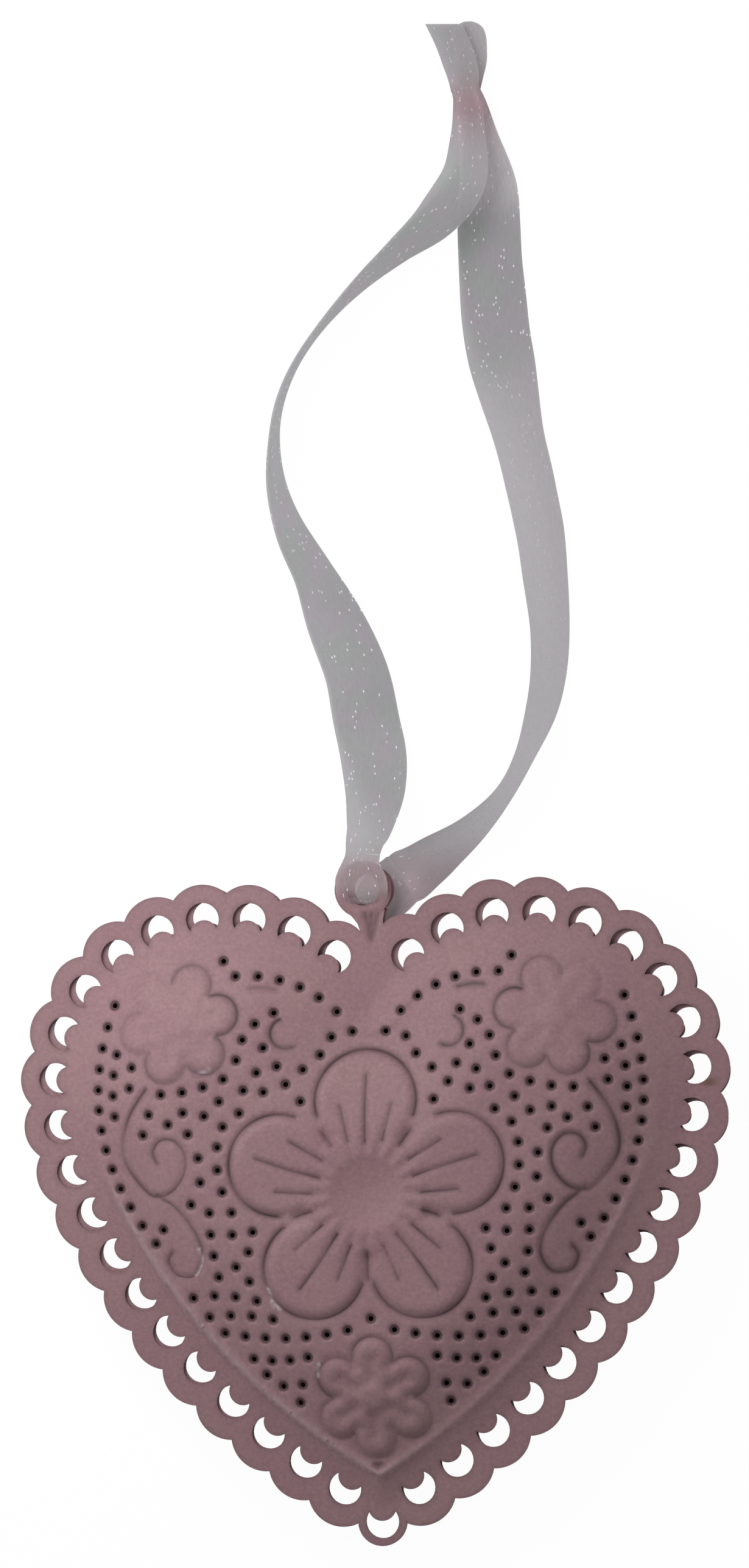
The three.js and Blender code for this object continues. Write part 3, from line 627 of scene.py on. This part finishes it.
def platePlan(trim, pierced):  # the flat sheet: cut edges, rings round the dots, rows along the grooves, an even grid
    points, edges = cutLines(trim, pierced)
    edgeTree = treeOf(points)
    fill = []
    for at in dots + [Vector(dent[0])]:
        for radius in plate["dotRings"]:
            fill += arcPoints(at, radius, plate["ringTurn"] * radius, plate["ringSweep"], plate["ringStep"])
    for line, _, _, wide in grooves:
        for a, b in zip(line, line[1:]):
            side = (b - a).orthogonal().normalized() * wide
            fill += [a, a + side, a - side]
    count = plate["rimPoints"]
    for out in plate["rimRows"]:
        fill += bothSides([besideRail(railLength * (k + 0.5) / count, out) for k in range(count)])
    closeTree = treeOf(fill)
    step, rowStep, span, (left, bottom) = (plate[key] for key in ("step", "rowStep", "span", "corner"))
    for j in range(int(span / (step * rowStep))):
        for i in range(int(span / step)):
            at = Vector((left + (i + 0.5 * (j % 2)) * step, bottom + j * step * rowStep))
            if closeTree.find((at.x, at.y, 0))[2] > plate["apart"]:
                fill.append(at)
    clear = [p for p in fill if edgeTree.find((p[0], p[1], 0))[2] > plate["fromEdge"]]
    points = [Vector(p) for p in points + [p for p in clear if isMetal(p[0], p[1], trim, pierced)]]
    points, _, faces, *_ = delaunay_2d_cdt(points, edges, [], 0, 1e-4)
    kept = []
    for face in faces:
        x, y = (sum(points[i][axis] for i in face) / 3 for axis in (0, 1))
        if isMetal(x, y, trim, pierced):
            kept.append(list(face))
    used = sorted({i for face in kept for i in face})
    place = {old: new for new, old in enumerate(used)}
    return [points[i] for i in used], [[place[i] for i in face] for face in kept]


low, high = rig.box("front_shell")
shift = Vector(((low[0] + high[0]) / 2 / mm, low[1] / mm - (tip.y - pressing["tipLobe"])))  # heart to row frame


def addPiece(name, mesh):
    piece = bpy.data.objects.new(name, mesh)
    scene.collection.objects.link(piece)
    return piece


def wornPaintAndHighlight(at):  # lighter where a line is worn to tin, with a painted highlight on it, and along the lower ridge, partly worn paint and partly a painted highlight, more on the left
    inset = insideRail(abs(at.x), at.y)
    ridge = hump(inset - pressing["ridge"] - 0.2, 0.45) * falling(at.y, *pressing["beadEnd"])
    line = hump(rubHighlightTree.find((at.x, at.y, 0))[2], 0.15)
    return max(0.6 * line, (0.12 - 0.07 * clamp(at.x / 10, -1)) * ridge)


def burntMark(at):
    (x, y), (wide, tall) = pressing["scorch"], pressing["scorchSize"]
    return exp(-((at.x - x) / wide) ** 2 - ((at.y - y) / tall) ** 2)


def pressedHalf(name, back):
    p = pressing
    plan, faces = platePlan(p["backTrim"] if back else 0, not back)
    relief = [pressedHeight(at.x, at.y, not back) for at in plan]
    turn = Matrix.Rotation(radians(p["backTurn"]) if back else 0, 2)
    side = -1 if back else 1
    rise = p["rimGap"] / 2 + p["sheet"]
    points = []
    for at, (height, _) in zip(plan, relief):
        flat = turn @ (at - tip) + tip + shift
        uneven = p["uneven"] * noise.noise((at.x * 0.09, at.y * 0.09, side * 3.0))
        level = max(p["middle"] + side * (rise + height + uneven), p["lowest"])  # the back rests on the table
        points.append((flat.x * mm, flat.y * mm, level * mm))
    mesh = bpy.data.meshes.new(name)
    mesh.from_pydata(points, [], faces)
    sides = Counter(tuple(sorted(pair)) for face in faces for pair in zip(face, face[1:] + face[:1]))
    cutTree = treeOf([plan[i] for pair, count in sides.items() if count == 1 for i in pair])
    wearAndShade = {
        "dirt": [dirt for _, dirt in relief],
        "edge": [0.0 if back else exp(-cutTree.find((at.x, at.y, 0))[2] / 0.3) for at in plan],
        "bright": [0.0 if back else wornPaintAndHighlight(at) for at in plan],
        "scorch": [0.0 if back else burntMark(at) for at in plan],
    }
    for label, values in wearAndShade.items():
        mesh.attributes.new(label, "FLOAT", "POINT").data.foreach_set("value", values)
    bm = bmesh.new()
    bm.from_mesh(mesh)
    bmesh.ops.recalc_face_normals(bm, faces=bm.faces)
    if (bm.faces[0].normal.z > 0) == back:
        bmesh.ops.reverse_faces(bm, faces=bm.faces)
    bmesh.ops.solidify(bm, geom=bm.faces[:], thickness=p["sheet"] * mm)
    bm.to_mesh(mesh)
    bm.free()
    for polygon in mesh.polygons:
        polygon.use_smooth = True
    mesh.set_sharp_from_angle(angle=radians(plate["sharp"]))
    print(name, "pressed:", len(mesh.polygons))
    return addPiece(name, mesh)


frontHalf = pressedHalf("front_pressing", False)
backHalf = pressedHalf("back_pressing", True)

# the ribbon: x, y, height, width and tilt of the right edge at each station, in heart millimetres
ribbon = {"width": 10, "across": 20, "perStation": 8, "ripple": 0.12, "wave": 0.03, "calm": 4, "lowest": 0.12}
leftRun = (
    (-0.75, 52.6, 9, 5.2, 0), (-0.5, 54.4, 8.2, 5.8, 0), (0.15, 57, 6.7, 7.1, 0), (0.6, 61.8, 4, 9, 0),
    (0.2, 67.3, 1.7, 10, 0), (-0.9, 72.6, 0.7, 10, 0), (-2.2, 79.8, 1.2, 10, 9), (-5, 87.4, 2.3, 10, 23),
    (-8, 94.6, 3.8, 10, 45), (-11.4, 101.5, 4.5, 10, 56), (-13.4, 108.4, 4.8, 10, 64), (-13.5, 115.4, 5, 10, 71),
    (-12.3, 121.5, 5.1, 10, 73), (-9.6, 127.3, 5.1, 10, 74), (-5.3, 133, 5.1, 10, 73), (0.3, 138.6, 4.9, 10, 67),
    (5.9, 143.3, 4.7, 10, 57), (11.6, 147.9, 4.2, 9.6, 39), (15.8, 153.7, 3.6, 7.6, 15), (16.6, 160, 3, 5.4, 3),
    (16.6, 165, 2.8, 4.4, 0), (16.3, 167.4, 2.8, 3.9, 0),
)
rightRun = (
    (4.7, 48.7, 5, 8, 0), (7, 50.1, 4.6, 9, -36), (10.2, 52.3, 4.4, 10, -54), (15.2, 56, 4.9, 10, -69),
    (20.1, 61, 5.2, 10, -80), (23.4, 66.5, 5.2, 10, -79), (25.9, 72.9, 4.9, 10, -69), (27.2, 78.9, 4.8, 10, -64),
    (27.6, 85.6, 4.6, 10, -60), (27, 93.9, 4.3, 10, -53), (26.3, 100.6, 4, 10, -49), (25.1, 107.3, 4, 10, -48),
    (23.4, 114.9, 3.8, 10, -44), (21.9, 121.6, 2.8, 10, -30), (20.5, 128, 1.3, 10, -8), (19.8, 133.7, 0.7, 10, -3),
    (19.4, 139.9, 0.5, 9.8, 0), (19.2, 146.7, 0.5, 9.6, 0), (19.1, 153.4, 0.6, 8.6, 0), (17.9, 160.5, 1, 6, 0),
    (17, 165, 1.3, 4.8, 0), (16.4, 167.4, 1.5, 3.9, 0),
)
# short stretches: the last number is the heading of the right edge instead
veil = (
    (-1, 44.6, 8.5, 5.4, 0), (-1, 45.4, 8.6, 6.8, 0), (-1.05, 46.4, 8.7, 7.6, 0), (-1.1, 47.6, 8.8, 7.9, 0),
    (-1.15, 48.8, 8.9, 7.7, 0), (-1.15, 49.8, 9, 7, 0), (-1.05, 50.8, 9.1, 6, -4), (-0.9, 51.7, 9.1, 5.3, -8),
    (-0.75, 52.6, 9, 5.2, -8),
)
gather = (
    (-1.1, 46, 8.5, 4.4, 0), (-1, 45.2, 7.9, 3.8, 0), (-1, 44.95, 7.2, 3.4, 0), (-0.8, 45.1, 6.6, 3.8, -20),
    (-0.1, 45.7, 6, 5.6, -55), (1.2, 46.4, 5.4, 8.6, -80), (2.9, 47.3, 5.1, 9.2, -78), (4.7, 48.7, 5, 8, -59),
)
upperTail = (
    (16.2, 167, 3, 4, 0), (16.1, 169, 2.9, 4.7, 0), (15.6, 171.2, 2.5, 5.2, 0), (14.7, 174, 2, 5.4, 0),
    (13.1, 177.6, 1.6, 5.6, -2),
)
lowerTail = (
    (16.4, 167, 1.4, 3.8, 0), (16.6, 169.4, 1.2, 4.6, 0), (16.9, 171.5, 0.9, 5, 0), (17, 173.3, 0.7, 5, 0),
    (16.8, 175.4, 0.5, 5.2, 0), (16.7, 176.8, 0.5, 4.6, 0), (16.7, 177.6, 0.5, 3, 0), (16.7, 178, 0.5, 1, 0),
)


def splineStations(stations, count):
    line = []
    ends = [stations[0]] + list(stations) + [stations[-1]]
    for a, b, c, d in zip(ends, ends[1:], ends[2:], ends[3:]):
        line += [[between(*four, k / count) for four in zip(a, b, c, d)] for k in range(count)]
    return line + [list(stations[-1])]


def inRow(at):
    return Vector(((at.x + shift.x) * mm, (at.y + shift.y) * mm, max(at.z, ribbon["lowest"]) * mm))


def pinkTinge(at):  # at the knot, and from the tab upwards
    return max(0.9 * hump(at.y - 165, 4.6), 0.8 * falling(at.y, 56, 7))


# a grid of cloth, mapped in millimetres
def clothMesh(name, columns, rows, placeOf, layersAt, paintedLightAt, closed=False):
    bm = bmesh.new()
    bmesh.ops.create_grid(bm, x_segments=columns, y_segments=rows, size=0.5)
    uv = bm.loops.layers.uv.new("cloth")
    blush = bm.verts.layers.float.new("blush")
    layers = bm.verts.layers.float.new("layers")
    pale = bm.verts.layers.float.new("pale")
    flat = {}
    for v in bm.verts:
        at, flat[v] = placeOf(v.co.x, round((v.co.y + 0.5) * rows))
        v[blush], v[layers], v[pale] = pinkTinge(at), layersAt(at), paintedLightAt(at)
        v.co = inRow(at)
    for face in bm.faces:
        face.smooth = True
        for loop in face.loops:
            loop[uv].uv = flat[loop.vert]
    if closed:
        bmesh.ops.remove_doubles(bm, verts=bm.verts, dist=0.002 * mm)
    bmesh.ops.recalc_face_normals(bm, faces=bm.faces)
    bm.normal_update()
    for v in bm.verts:  # painted light: the cloth is drawn lighter where it stands on edge turned to the right, for light that comes through it
        turned = 1.3 * v.normal.x * (1 if v.normal.z > 0 else -1)
        v[pale] += clamp(turned)
    mesh = bpy.data.meshes.new(name)
    bm.to_mesh(mesh)
    bm.free()
    return addPiece(name, mesh)


def bandMesh(name, stations, headed=False, layersAt=lambda at: 1.0, paintedLightAt=lambda at: 0.0):
    line = splineStations(stations, ribbon["perStation"])
    middles = [Vector(s[:3]) for s in line]
    runs = [0.0]
    for a, b in zip(middles, middles[1:]):
        runs.append(runs[-1] + (b - a).length)
    rows = len(line) - 1

    def placeOf(u, i):
        wide, turn = line[i][3], radians(line[i][4])
        travel = (middles[min(i + 1, rows)] - middles[max(i - 1, 0)]).normalized()
        if headed:
            across = Vector((cos(turn), sin(turn), 0))
        else:
            level = Vector((travel.y, -travel.x, 0)).normalized()
            across = level * cos(turn) + Vector((0, 0, 1)) * sin(turn)
        through = across.cross(travel).normalized()
        calm = ease(min(runs[i], runs[-1] - runs[i]) / ribbon["calm"])  # the ends meet the next stretch
        ripple = calm * ribbon["ripple"] * noise.noise((u * 1.6, runs[i] * 0.09, len(stations)))
        wave = 1 + calm * ribbon["wave"] * noise.noise((3 + (u > 0), runs[i] * 0.11, len(stations)))
        return middles[i] + across * (u * wide * wave) + through * ripple, (u * ribbon["width"], runs[i])

    band = clothMesh(name, ribbon["across"], rows, placeOf, layersAt, paintedLightAt)
    return band, [inRow(m) for m in middles], runs[-1] * mm


def overTab(at):  # the cloth lies doubled over the tab and clings to its foot
    return rising(at.y, 44.4, 4) * (1 + 0.55 * falling(at.y, 53, 2))


# painted light: the left run drawn a little lighter towards the knot
def leftPaintedLight(at):
    return 0.1 * rising(at.y, 146, 10)


def rightPaintedLight(at):  # painted light: lighter towards the knot, and where it comes out behind the tab
    return 0.85 * rising(at.y, 146, 8) + 0.55 * falling(at.y, 60, 8) * rising(at.x, 1, 3)


leftBand, leftPath, leftLength = bandMesh("ribbon_left", leftRun, paintedLightAt=leftPaintedLight)
rightBand, rightPath, rightLength = bandMesh("ribbon_right", rightRun, paintedLightAt=rightPaintedLight)
veilBand, veilPath, _ = bandMesh("ribbon_veil", veil, True, overTab)
gatherBand, gatherPath, _ = bandMesh("ribbon_gather", gather, True, paintedLightAt=rightPaintedLight)
# painted light: the tails drawn evenly lighter
tailA, _, _ = bandMesh("ribbon_tail_upper", upperTail, True, paintedLightAt=lambda at: 0.15)
tailB, _, _ = bandMesh("ribbon_tail_lower", lowerTail, True, paintedLightAt=lambda at: 0.55)

# the pulled knot: x, y, height of its middle, half width, half thickness
knot = {"rings": ((17.2, 162.9, 2, 2.6, 1.2), (17, 164.6, 2.1, 2.55, 1.7), (16.7, 166.1, 2.2, 2.35, 1.9),
                  (16.35, 167.6, 2.2, 2.2, 1.8), (16.2, 168.8, 2.2, 2.4, 1.4), (16.1, 169.6, 2.2, 2.5, 0.9)),
        "perRing": 6, "columns": 40, "folds": 5, "depth": 0.07, "lean": 55, "leanFrom": 166, "lift": 0.5,
        "around": 14, "foot": 162, "pull": 1.6, "slant": 4, "pale": 0.4}


def knotMesh():
    line = splineStations(knot["rings"], knot["perRing"])

    def placeOf(u, i):
        x, y, z, wide, thick = line[i]
        angle = (u + 0.5) * 2 * pi
        lean = radians(knot["lean"]) * (y - knot["leanFrom"])
        fold = 1 - knot["depth"] * (0.5 + 0.5 * sin(knot["folds"] * angle + lean))
        lift = knot["lift"] * sin(angle + 0.6)
        at = Vector((x + wide * fold * cos(angle), y + lift, z + thick * fold * sin(angle)))
        return at, (u * knot["around"], (y - knot["foot"]) * knot["pull"] + knot["slant"] * u)

    def layersAt(at):  # the wrap merges with the cloth under it
        return 0.75 * ease(1.2 - abs(at.y - 166.2) / 3)

    rows = len(line) - 1
    # painted light: the wrap drawn evenly lighter
    return clothMesh("ribbon_knot_wrap", knot["columns"], rows, placeOf, layersAt, lambda at: knot["pale"], True)


knotWrap = knotMesh()
print("ribbon laid:", round(leftLength, 4), round(rightLength, 4))


def paintedTin():  # satin paint on pressed tin: even dusty pink with a sandy grain, dark in the lines and holes, partly grime and partly painted shade
    material, tree = newMaterial("painted_tin")
    coords = addNode(tree, "ShaderNodeTexCoord").outputs["Object"]
    cloud = noiseOver(tree, coords, {"Scale": 1 / 0.012, "Detail": 3, "Roughness": 0.6})
    grain = noiseOver(tree, coords, {"Scale": 1 / 0.0006, "Detail": 2, "Roughness": 0.7})
    tint = ramp(tree, cloud, ((0.32, "#97757b"), (0.68, "#9c7c7f")))
    speck = spread(tree, grain, 0.3, 0.7, 0.88, 1.1)
    grainy = addNode(tree, "ShaderNodeMix", {"data_type": "RGBA", "blend_type": "MULTIPLY"}, {0: 1.0},
                     {6: tint, 7: speck})
    # darker along the cut edges: partly worn paint, partly painted shadow of the sheet's thickness
    rim = combined(tree, "MULTIPLY", attribute(tree, "edge"), spread(tree, cloud, 0.35, 0.6, 0.12, 0.4))
    # one dark colour for grime in the lines and for painted shade in the holes, the crease and along the cut edges
    dark = combined(tree, "MAXIMUM", attribute(tree, "dirt"), rim)
    lined = mixed(tree, dark, grainy.outputs[2], "#503d40")
    # painted highlight: lines worn to tin and the lower ridge drawn near white
    highlit = mixed(tree, attribute(tree, "bright"), lined, "#d9cfd2")
    burnt = mixed(tree, attribute(tree, "scorch"), highlit, "#6a5040")
    bump = addNode(tree, "ShaderNodeBump", {}, {"Strength": 0.2, "Distance": 0.00004}, {"Height": grain})
    shader = addNode(tree, "ShaderNodeBsdfPrincipled", {},
                     {"Roughness": 0.62, "IOR": 1.48, "Specular IOR Level": 0.25},
                     {"Base Color": burnt, "Normal": bump.outputs["Normal"]})
    addNode(tree, "ShaderNodeOutputMaterial", {}, {}, {"Surface": shader.outputs["BSDF"]})
    return material


def weldedSteel():  # bare spot weld: grey, blued by heat
    material, tree = newMaterial("spot_welded_steel")
    coords = addNode(tree, "ShaderNodeTexCoord").outputs["Object"]
    heat = noiseOver(tree, coords, {"Scale": 1 / 0.0008, "Detail": 3})
    shader = addNode(tree, "ShaderNodeBsdfPrincipled", {}, {"Roughness": 0.45, "Metallic": 1.0},
                     {"Base Color": ramp(tree, heat, ((0, "#5c5558"), (1, "#8d8688")))})
    addNode(tree, "ShaderNodeOutputMaterial", {}, {}, {"Surface": shader.outputs["BSDF"]})
    return material


def wovenOrganza():  # sheer nylon organza: thin open weave, dense selvedges, a few glinting threads whose glints are painted highlights
    material, tree = newMaterial("woven_organza")
    cloth = addNode(tree, "ShaderNodeUVMap", {"uv_map": "cloth"}).outputs["UV"]  # millimetres across and along

    def celled(across, along):  # the cloth's map in cells of this size
        scale = {"Scale": (1 / across, 1 / along, 1)}
        return addNode(tree, "ShaderNodeMapping", {}, scale, {"Vector": cloth}).outputs["Vector"]

    sheen = noiseOver(tree, cloth, {"Scale": 1 / 6, "Detail": 2})
    tint = ramp(tree, sheen, ((0.34, "#a7aaa7"), (0.5, "#aba8ab"), (0.66, "#b0a6ae")))
    # painted light: the cloth's colour drawn lighter where it is marked so
    lit = mixed(tree, attribute(tree, "pale"), tint, "#e6dfe3")
    pink = mixed(tree, attribute(tree, "blush"), lit, "#f6d8dd", "MULTIPLY")
    # threads are 0.1 mm, drawn at 0.35 mm so that they show
    threads = noiseOver(tree, celled(0.35, 1.6), {"Scale": 1, "Detail": 2})
    # painted highlights: the glints of the threads are small near-white spots in the base colour
    cells = addNode(tree, "ShaderNodeTexVoronoi", {"voronoi_dimensions": "2D"}, {"Scale": 1},
                    {"Vector": celled(0.45, 0.85)})
    pick = addNode(tree, "ShaderNodeSeparateColor", {}, {}, {"Color": cells.outputs["Color"]})
    clump = noiseOver(tree, celled(1.6, 9), {"Scale": 1, "Detail": 3})
    lucky = combined(tree, "GREATER_THAN", pick.outputs[0], spread(tree, clump, 0.5, 0.72, 0.99, 0.55))
    glint = combined(tree, "MULTIPLY", lucky, spread(tree, cells.outputs["Distance"], 0.36, 0.12, 0.0, 1.0))
    colour = mixed(tree, glint, pink, "#f5eff5")
    axes = addNode(tree, "ShaderNodeSeparateXYZ", {}, {}, {"Vector": cloth})
    sideways = addNode(tree, "ShaderNodeMath", {"operation": "ABSOLUTE"}, {}, {0: axes.outputs["X"]})
    selvedge = spread(tree, sideways.outputs[0], 4.55, 4.75, 0.0, 0.07)
    weave = spread(tree, threads, 0.3, 0.7, 0.45, 0.58)
    layers = attribute(tree, "layers")
    cover = combined(tree, "MULTIPLY", combined(tree, "ADD", weave, selvedge), layers)
    shown = combined(tree, "MULTIPLY", glint, layers, True)
    shader = addNode(tree, "ShaderNodeBsdfPrincipled", {}, {"Roughness": 0.55, "Sheen Weight": 0.15, "IOR": 1.5},
                     {"Base Color": colour, "Alpha": combined(tree, "MAXIMUM", cover, shown, True)})
    addNode(tree, "ShaderNodeOutputMaterial", {}, {}, {"Surface": shader.outputs["BSDF"]})
    return material


tin, steel, organza = paintedTin(), weldedSteel(), wovenOrganza()
for half, node in ((frontHalf, "front_shell"), (backHalf, "back_shell")):
    half.data.materials.append(tin)
    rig.ride(half, "heart")
    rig.replaces(half, node)
    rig.slot(half, "paint")
for name in frame["nodes"]:
    if name.startswith("weld"):
        piece = bpy.data.objects[name]
        piece.data.materials.clear()
        piece.data.materials.append(steel)
for piece, node in ((leftBand, "ribbon_left_run"), (rightBand, "ribbon_right_run"), (tailA, "ribbon_upper_tail"),
                    (tailB, "ribbon_lower_tail"), (knotWrap, "ribbon_knot")):
    piece.data.materials.append(organza)
    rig.ride(piece, "ribbon")
    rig.replaces(piece, node)
    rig.slot(piece, "organza")
for piece, path, start in ((veilBand, veilPath, 4), (gatherBand, gatherPath, 0)):
    piece.data.materials.append(organza)
    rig.slot(piece, "organza")
    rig.blend(piece, "heart", "ribbon", start=path[start * ribbon["perStation"]], end=path[-ribbon["perStation"]])
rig.replaces(veilBand, "ribbon_bight")
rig.cord(leftBand, exit=leftPath[0], length=leftLength, diameter=ribbon["width"] * mm, far_end="knot",
        stiffness="limp", lay="loose", path=leftPath, with_pieces=[knotWrap, tailA, tailB, veilBand])
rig.cord(rightBand, exit=rightPath[0], length=rightLength, diameter=ribbon["width"] * mm, far_end="knot",
        stiffness="limp", lay="loose", path=rightPath, with_pieces=[gatherBand])

stage = {"size": 8.0, "drop": -0.0001, "shade": "#b6b6b9", "glow": 1.07, "glowShare": 0.9, "room": 0.32}


def mattTable():  # white where it is seen bare, its own grey through the sheer ribbon
    material, tree = newMaterial("matt_table")
    rays = addNode(tree, "ShaderNodeLightPath").outputs
    seen = combined(tree, "ADD", rays["Is Camera Ray"], rays["Is Glossy Ray"], True)
    seen = combined(tree, "ADD", seen, rays["Is Transmission Ray"], True)
    bare = addNode(tree, "ShaderNodeMath", {"operation": "LESS_THAN"}, {1: 0.5}, {0: rays["Transparent Depth"]})
    seen = combined(tree, "MULTIPLY", seen, bare.outputs[0])
    share = addNode(tree, "ShaderNodeMath", {"operation": "MULTIPLY"}, {1: stage["glowShare"]}, {0: seen})
    matt = addNode(tree, "ShaderNodeBsdfDiffuse", {}, {"Color": linear(stage["shade"])})
    glow = addNode(tree, "ShaderNodeEmission", {}, {"Color": (1, 1, 1, 1), "Strength": stage["glow"]})
    both = addNode(tree, "ShaderNodeMixShader", {}, {},
                   {0: share.outputs[0], 1: matt.outputs[0], 2: glow.outputs[0]})
    addNode(tree, "ShaderNodeOutputMaterial", {}, {}, {"Surface": both.outputs[0]})
    return material


bm = bmesh.new()
bmesh.ops.create_grid(bm, x_segments=1, y_segments=1, size=stage["size"] / 2)
bmesh.ops.translate(bm, verts=bm.verts, vec=(0, 0, stage["drop"]))
floorMesh = bpy.data.meshes.new("table_top")
bm.to_mesh(floorMesh)
bm.free()
floor = addPiece("table_top", floorMesh)
floor.data.materials.append(mattTable())
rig.stage(floor)

lamps = (  # place in mm, aim in mm, size in mm, watts
    ("desk_lamp", (-95, 85, 125), (0, 5, 5), 100, 0.14), ("window", (-70, 200, 200), (10, 130, 5), 120, 0.19),
    ("wall", (250, 110, 60), (10, 60, 5), 100, 0.09),
)
for name, place, aim, size, watts in lamps:
    data = bpy.data.lights.new(name, "AREA")
    data.size, data.energy = size * mm, watts
    lamp = bpy.data.objects.new(name, data)
    lamp.location = Vector(place) * mm
    lamp.rotation_euler = (Vector(aim) - Vector(place)).to_track_quat("-Z", "Y").to_euler()
    scene.collection.objects.link(lamp)
world = bpy.data.worlds.new("room")
world.use_nodes = True
world.node_tree.nodes["Background"].inputs["Color"].default_value = (1, 1, 1, 1)
world.node_tree.nodes["Background"].inputs["Strength"].default_value = stage["room"]
scene.world = world

newLow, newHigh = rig.bounds()
with open("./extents.json", "w") as out:
    json.dump({"cad": [list(cadLow), list(cadHigh)], "visual": [list(newLow), list(newHigh)]}, out)
print("scene done")
